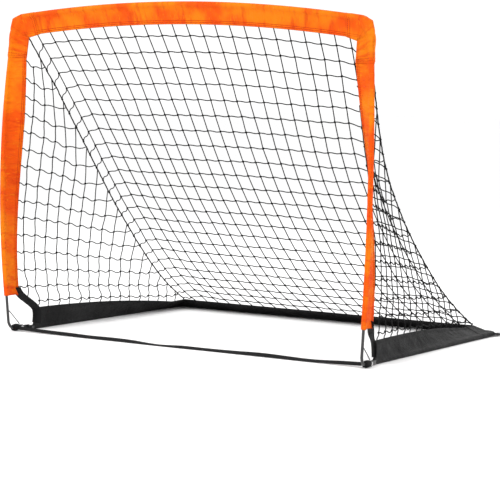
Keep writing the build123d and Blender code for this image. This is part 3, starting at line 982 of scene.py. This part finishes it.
def side_point(y, height):
    """The point of a row, which starts at height on the post, at this y."""
    front = front_of(max(height, 0.07))
    end = row_meets_edge(height)
    t = unit((y - front[1]) / max(end - front[1], 0.02))
    z = height - drop_of(height) * max(0.0, (t - 0.06) / 0.94) ** 1.2
    edge_x = edge_at(edge_share_at_y(end))[0]
    x = front[0] + (edge_x - front[0]) * t
    near = math.exp(-max(0.0, z - floor_of(y)) / 0.09)
    hem_x = side_hem(min(max(y, SIDE_START), SIDE_END))[0]
    return np.array([x + (hem_x - x) * near, y, z])


def column_lean(y):
    """How far a column leans forwards for each metre that it rises."""
    return 0.055 + 0.095 * unit((y - FRONT - 0.10) / 0.25)


side_heights = [0.0835] + [0.128 + ROW_PITCH * k for k in range(15)]
side_columns = [FRONT + 0.074 + SIDE_PITCH * j for j in range(17)]
side_knots = {}
for k, height in enumerate(side_heights):
    end = row_meets_edge(height)
    for j, y in enumerate(side_columns):
        spot = side_point(y, height)
        spot[1] -= column_lean(y) * max(0.0, spot[2] - floor_of(y))
        if y < end - 0.018 and spot[2] > floor_of(y) + 0.012:
            slack = max(0.0, 1 - (spot[2] - floor_of(y)) / 0.16)
            zigzag = np.array([0.0, 0.0045 * slack * (1 if (k + j) % 2 else -1), 0.0])
            side_knots[j, k] = spot + jitter(j, k, 7.0, size=0.003 + 0.003 * slack) + zigzag
print("side net:", len(side_knots), "knots on each side")

# %% [markdown]
# ## Twine
#
# Between two knots the twine takes a shallow S: it leaves a knot a little high and comes into the
# next one a little low. The goal also has to fold, and cloth that spans several moving poles
# can't follow one of them. So the net is made in pieces that meet along straight lines between
# its corners, and each piece goes with the pole that carries it.


# %% Spans of twine
def span(a, b, lift, hump, bow=0.0):
    """Points from knot a to knot b, with an S of the given height and a sag, along lift."""
    ts = np.linspace(0, 1, 7)
    wave = hump * np.sin(2 * math.pi * ts) * (1 - 0.25 * ts) - bow * np.sin(math.pi * ts)
    return [a + (b - a) * t + lift * h for t, h in zip(ts, wave)]


class Netting:
    """Collects twine and knots for each piece of net."""

    def __init__(self):
        self.chains, self.knots = {}, {}

    def strand(self, spans):
        """One strand: spans of points, each with the piece that it belongs to."""
        last = None
        for piece, points in spans:
            chains = self.chains.setdefault(piece, [])
            if piece == last:
                chains[-1] += points[1:]
            else:
                chains.append(list(points))
            last = piece

    def knot(self, piece, spot, way):
        self.knots.setdefault(piece, []).append((spot, way))


def back_piece(u, v):
    if abs(u - 0.5) < 0.5 * (1 - v):
        return "back_net_middle"
    return "left_back_net" if u < 0.5 else "right_back_net"


def side_piece(spot):
    """The line between the two runs from the foot hinge to the middle of the edge cord."""
    y, z = spot[1] - FRONT, spot[2]
    return "front_side_net" if z - 0.07 > (y - 0.10) * 1.105 else "rear_side_net"


netting = Netting()
for k in range(1, ROWS):
    row = []
    for i in range(1, COLUMNS - 1):
        hump = 0.0017 * (1 + 0.35 * noise.noise(Vector((i * 1.3, k * 1.9, 4))))
        twine = span(back_knots[i, k], back_knots[i + 1, k], UP_BACK, hump, 0.0012)
        row.append((back_piece((i + 0.5) / COLUMNS, row_share(k)), twine))
    netting.strand(row)
for i in range(1, COLUMNS):
    column = []
    for k in range(ROWS):
        hump = 0.0007 * noise.noise(Vector((i * 2.1, k * 1.7, 8)))
        twine = span(back_knots[i, k], back_knots[i, k + 1], np.array([1.0, 0, 0]), hump)
        column.append((back_piece(i / COLUMNS, row_share(k + 0.5)), twine))
        if k:
            netting.knot(back_piece(i / COLUMNS, row_share(k)), back_knots[i, k], UP_BACK)
    netting.strand(column)
print("back strands:", sum(len(c) for c in netting.chains.values()))

# %% [markdown]
# Along the edge cord the outer knots are lashed on with loose twine that drops to the cord in an
# arc, a little below the knot that it comes from.

# %% Lashings, and the side nets' twine
for piece, i, mirror in (("left_back_net", 1, (1, 1, 1)), ("right_back_net", COLUMNS - 1, (-1, 1, 1))):
    for k in range(1, ROWS):
        target = edge_at(min(1.0, row_share(k) + 0.85 / ROWS)) * mirror
        start = back_knots[i, k]
        arc = []
        for t in np.linspace(0, 1, 8):
            arc.append(start + (target - start) * t - UP_BACK * 0.004 * math.sin(2 * math.pi * t))
        netting.strand([(piece, arc)])
        netting.knot(piece, target, edge_at(min(1.0, row_share(k + 1))) * mirror - target)

side_netting = Netting()
for k, height in enumerate(side_heights):
    row = [side_knots[j, k] for j in range(len(side_columns)) if (j, k) in side_knots]
    end_y = row_meets_edge(height)
    tie = edge_at(edge_share_at_y(end_y - 0.010))
    chain = [front_of(height) + np.array([0.0, -0.003, 0.0]), *row, tie]
    if (0, k) not in side_knots:
        chain = chain[1:]
    twines = [span(a, b, np.array([0, 0, 1.0]), 0.0030, 0.0028) for a, b in zip(chain, chain[1:])]
    side_netting.strand([(side_piece((t[0] + t[-1]) / 2), t) for t in twines])
for j, y in enumerate(side_columns):
    rise = max(0.0, edge_at(edge_share_at_y(y))[2] - floor_of(y))
    top = edge_at(edge_share_at_y(y - column_lean(y) * rise))
    column = [side_knots[j, k] for k in range(len(side_heights)) if (j, k) in side_knots]
    foot = np.array([side_hem(min(y, SIDE_END))[0], y, floor_of(y) - 0.003])
    chain = [foot, *column] + ([top] if top[2] < 0.85 else [])
    if len(chain) < 2 or y > FRONT + 0.80:
        continue
    spans = []
    for n, (a, b) in enumerate(zip(chain, chain[1:])):
        slack = 0.0012 + 0.003 * max(0.0, 1 - (a[2] - floor_of(y)) / 0.12)
        twine = span(a, b, np.array([0, 1.0, 0]), slack * (1 if n % 2 else -1))
        spans.append((side_piece((a + b) / 2), twine))
    side_netting.strand(spans)
for (j, k), spot in side_knots.items():
    side_netting.knot(side_piece(spot), spot, (0.0, 0.1, 1.0))
print("side strands:", sum(len(c) for c in side_netting.chains.values()))


# %% [markdown]
# The tree turns each chain into a round strand and winds a short coil of twine at every knot.


# %% A tree that nets
tree = Tree("Netting", Twine_radius=0.00158, Knot_radius=0.0021, Knot_height=0.0034)
twine_radius, knot_radius = tree.given["Twine radius"], tree.given["Knot radius"]
curve = tree.grow("MeshToCurve", Mesh=tree.given["Geometry"])
strand = tree.tube(curve, twine_radius, 5)
ends = {"Start_Radius": knot_radius, "End_Radius": knot_radius, "Height": tree.given["Knot height"]}
coil = tree.grow("CurveSpiral", Resolution=6, Rotations=1.7, **ends)
centred = tree.grow("Transform", Geometry=coil, Translation=(0, 0, -0.0017))
wound = tree.tube(centred, twine_radius, 4)
is_knot = tree.grow("InputNamedAttribute", {"data_type": "BOOLEAN"}, Name="knot")
way = tree.grow("InputNamedAttribute", {"data_type": "FLOAT_VECTOR"}, Name="way")
aligned = tree.grow("FunctionNodeAlignRotationToVector", {"axis": "Z"}, Vector=way)
spots = tree.grow("MeshToPoints", Mesh=tree.given["Geometry"], Selection=is_knot)
spun = tree.grow("FunctionNodeRandomValue", {"data_type": "FLOAT_VECTOR"}, Seed=7)
set_up(spun, {}, {0: (-0.35, -0.35, -3.1), 1: (0.35, 0.35, 3.1)})
tied = tree.grow("InstanceOnPoints", Points=spots, Instance=wound, Rotation=aligned)
turned = tree.grow("RotateInstances", Instances=tied, Rotation=spun)
both = tree.grow("JoinGeometry", Geometry=strand)
set_up(both, {}, {"Geometry": tree.grow("RealizeInstances", Geometry=turned)})
NET = tree.done(both, TWINE)

net_pieces = {}
for name, chains in netting.chains.items():
    net_pieces[name] = grown(name, chains, NET, "net_twine", netting.knots.get(name, ()))
for name, chains in side_netting.chains.items():
    piece = grown("left_" + name, chains, NET, "net_twine", side_netting.knots.get(name, ()))
    net_pieces["left_" + name] = piece
    net_pieces["right_" + name] = mirrored(piece)
for name, piece in net_pieces.items():
    print(name, len(piece.data.polygons), "faces")

# %% [markdown]
# Each piece rides on a pole as the goal folds. The middle of the back goes with the crossbar, its
# two lower parts with the rear bar, and each side net's front part with the post and its rear
# part with the side bar.


def gathers(piece, body):
    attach(piece, body)
    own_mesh(piece)


def gathers_at_post(piece, hand):
    gathers(piece, hand + "_post")


def gathers_at_side(piece, hand):
    gathers(piece, hand + "_side")


gathers(net_pieces["back_net_middle"], "crossbar")
for hand in ("left", "right"):
    lower = net_pieces[hand + "_back_net"]
    gathers(lower, "rear_bar")
    gathers_at_post(net_pieces[hand + "_front_side_net"], hand)
    gathers_at_side(net_pieces[hand + "_rear_side_net"], hand)
    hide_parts(hand + "_side_net")
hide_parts("back_net")
print("net pieces:", len(net_pieces))

# %% [markdown]
# ## Edge cords
#
# The cord down each side is thicker than the twine. Its upper half goes with the post and its
# lower half with the side bar, and they meet where the post and side bar would fold together.

# %% Edge cords
tree = Tree("Round cord", Cord_radius=0.002)
curve = tree.grow("MeshToCurve", Mesh=tree.given["Geometry"])
ROUND = tree.done(tree.tube(curve, tree.given["Cord radius"], 8), EDGE_CORD)
middle_share = edge_share_at_y(FRONT + 0.385)


def edge_run(part, first, last):
    """A length of edge cord, with the small unevenness of a real one."""
    path = [edge_at(s) + jitter(s * 60, 3, 2, size=0.0012) for s in np.linspace(first, last, 70)]
    left = grown(f"left_{part}_edge_cord", [path], ROUND, "black_cord")
    return ((left, "left"), (mirrored(left), "right"))


for cord, hand in edge_run("upper", 0.0, middle_share):
    gathers_at_post(cord, hand)
for cord, hand in edge_run("lower", middle_share, 1.0):
    gathers_at_side(cord, hand)
    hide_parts(hand + "_seam_cord")
print("edge cords meet at", edge_at(middle_share).round(3))

# %% [markdown]
# ## Straps
#
# Flat webbing closes the bottom of each corner. One strap runs from the foot of the orange sleeve
# to the front of the black one and on down its edge. Another lies on the ground between the two
# feet. A ribbon is a rounded rectangle swept along a path, with its flat side turned as needed.

# %% A ribbon
HALF_WEBBING = 0.0008  # half the webbing's thickness


def ribbon(name, path, faces_to, width):
    """Webbing along path, with its flat side facing faces_to, a direction for each point."""
    path, normals = np.array(path, float), np.array(faces_to, float)
    tangents = normalised(np.gradient(path, axis=0))
    normals = normalised(normals - tangents * (normals * tangents).sum(1)[:, None])
    sideways = np.cross(tangents, normals)
    w, t = width / 2, HALF_WEBBING
    upper = [(-w, 0), (-w + t, t), (-w / 3, t), (w / 3, t), (w - t, t)]
    section = upper + [(-a, -b) for a, b in upper]
    along = running_length(path)
    points = [path[i] + sideways[i] * a + normals[i] * b for i in range(len(path)) for a, b in section]
    uvs = [(s, a) for s in along for a, _ in section]
    return swept_object(name, len(path), points, uvs, WEBBING, "black_webbing")


def nurbs(name, points):
    """A smooth curve near the given points."""
    curve = bpy.data.curves.new(name, "CURVE")
    curve.dimensions = "3D"
    spline = curve.splines.new("NURBS")
    spline.points.add(len(points) - 1)
    for spot, given in zip(spline.points, points):
        spot.co = (*given, 1)
    spline.order_u = 3
    spline.use_endpoint_u = True
    return curve


def smooth_path(points, count):
    """Points evenly spaced on such a curve."""
    curve = nurbs("guide", points)
    guide = bpy.data.objects.new("guide", curve)
    mesh = bpy.data.meshes.new_from_object(guide)
    line = np.array([v.co for v in mesh.vertices], float)
    bpy.data.meshes.remove(mesh)
    bpy.data.objects.remove(guide)
    bpy.data.curves.remove(curve)
    lengths = running_length(line)
    at = np.linspace(0, lengths[-1], count)
    return np.stack([np.interp(at, lengths, line[:, k]) for k in range(3)], axis=1)


# %% Corner straps
sleeve_foot = post(0.112) + post_across(0.112) * 0.044
band_top = side_hem(SIDE_START + 0.004) + np.array([0.0016, 0, -0.004])
from_sleeve = [(0.002, -0.002, 0.014), (0.0026, 0.006, -0.004)]
down_band = [
    (0.0008, -0.018, 0.016),
    (0.0018, 0.002, 0.001),
    (0.0018, 0.006, -0.016),
    (0.0012, 0.006, -0.036),
    (0.0008, 0.005, -0.042),
]
strap_path = smooth_path([sleeve_foot + s for s in from_sleeve] + [band_top + s for s in down_band], 40)
STRAP_FACES = (0.45, -0.8, -0.6)
left_strap = ribbon("left_corner_webbing", strap_path, [STRAP_FACES] * len(strap_path), 0.026)
for strap, hand, side in ((left_strap, "left", -1), (mirrored(left_strap), "right", 1)):
    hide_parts(hand + "_corner_strap")
    start, end = (side * 0.56, FRONT + 0.060, 0.100), (side * 0.56, FRONT + 0.092, 0.074)
    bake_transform(strap)
    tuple(start)
    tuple(end)
print("corner strap", round(float(running_length(strap_path)[-1]), 3), "m")

# %% The strap between the feet
HALF_SPAN = 0.5625


def ground_strap(name, sign):
    """One half, from the middle to a foot; it rolls a little about its length."""
    path, facing = [], []
    for x in np.linspace(0.0, HALF_SPAN, 90):
        s = x / HALF_SPAN
        lean = math.radians(24 + 26 * noise.noise(Vector((x * 6, 2.0 * sign, 0))) + 14 * s)
        drift = 0.006 * noise.noise(Vector((x * 4, 2.0 * sign, 3))) * (1 - s)
        height = 0.0012 + 0.0073 * abs(math.sin(lean))
        path.append((sign * x, FRONT + 0.030 + drift, height + 0.004 * s**6))
        facing.append((0.0, -math.sin(lean), math.cos(lean)))
    return ribbon(name, path, facing, 0.0145)


for hand, sign in (("left", -1), ("right", 1)):
    strap = ground_strap(hand + "_ground_strap", sign)
    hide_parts(hand + "_front_strap")
    gathers(strap, hand + "_side")
print("ground strap: two halves of", HALF_SPAN, "m")


# %% [markdown]
# Where the ground strap meets the foot it is wound round the elbow rod, four and a half turns of
# narrow webbing. A thin stretch cord runs from the upright of the rod down to the hinge.

# %% Foot wraps and stretch cords
FOOT_X, FOOT_Z = -0.5743, 0.009
TURNS = 4.6
wrap_path, wrap_facing = [], []
for t in np.linspace(0, TURNS, 120):
    a = 2 * math.pi * t
    outwards = np.array([math.cos(a), 0.0, math.sin(a)])
    radius = 0.0062 + 0.0030 * math.sin(math.pi * t / TURNS)
    wrap_path.append(np.array([FOOT_X, FRONT + 0.0195 + 0.0056 * t, FOOT_Z + 0.0015]) + outwards * radius)
    wrap_facing.append(outwards)
carry_pair(ribbon("left_foot_wrap", wrap_path, wrap_facing, 0.0095), "post", "strap_loop")

CORD_TOP = np.array([FOOT_X - 0.0015, FRONT + 0.0024, FOOT_Z + 0.052])
CORD_END = np.array([FOOT_X, FRONT + 0.050, FOOT_Z + 0.0105])
CORD_DIAMETER = 0.0026


def stretch_cord(name, mirror):
    middle = (CORD_TOP + CORD_END) / 2 + np.array([0, 0, 0.0008])
    curve = nurbs(name, [spot * mirror for spot in (CORD_TOP, middle, CORD_END)])
    curve.bevel_depth = CORD_DIAMETER / 2
    curve.bevel_resolution = 3
    curve.use_fill_caps = True
    curve.materials.append(STRETCH)
    made = placed(name, curve)
    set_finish(made, "stretch_cord")
    return made


for hand, mirror in (("left", (1, 1, 1)), ("right", (-1, 1, 1))):
    cord = stretch_cord(hand + "_stretch_cord", mirror)
    carry(cord, hand + "_post", hand + "_stay_cord")

# %% [markdown]
# ## The studio
#
# A white sweep and broad soft lights, so that the black net reads clearly. The floor is only a
# stage: it isn't part of the goal.

# %% Floor, world and lights
FLOOR = 60.0  # half the floor's side, in metres
floor_finish = Finish("studio floor", 0.9, specular=0.1)
pale = floor_finish.mix(floor_finish.noise(1.2), (0.93, 0.93, 0.93), (0.95, 0.95, 0.95))
floor_finish.give(Base_Color=pale)
floor_data = bpy.data.meshes.new("floor")
floor_corners = [(-FLOOR, -FLOOR, 0), (FLOOR, -FLOOR, 0), (FLOOR, FLOOR, 0), (-FLOOR, FLOOR, 0)]
floor_data.from_pydata(floor_corners, [], [(0, 1, 2, 3)])
floor_data.materials.append(floor_finish.material)
placed("floor", floor_data)

world = bpy.data.worlds.new("studio")
world.use_nodes = True
set_up(world.node_tree.nodes["Background"], {}, {"Color": (1.0, 1.0, 1.0, 1.0), "Strength": 1.07})
bpy.context.scene.world = world
bpy.context.scene.view_settings.view_transform = "Standard"


def softbox(name, place, target_height, size, power):
    """An area light that looks at a point above the origin."""
    light = placed(name, bpy.data.lights.new(name, "AREA"))
    light.data.size = size
    light.data.energy = power
    light.location = place
    look = Vector((0, 0, target_height)) - Vector(place)
    light.rotation_euler = look.to_track_quat("-Z", "Y").to_euler()


softbox("key light", (-2.2, -3.2, 3.2), 0.4, 2.2, 90)
softbox("fill light", (3.2, -2.6, 2.2), 0.3, 2.6, 45)
softbox("back light", (0.5, 3.2, 3.0), 0.4, 2.6, 40)
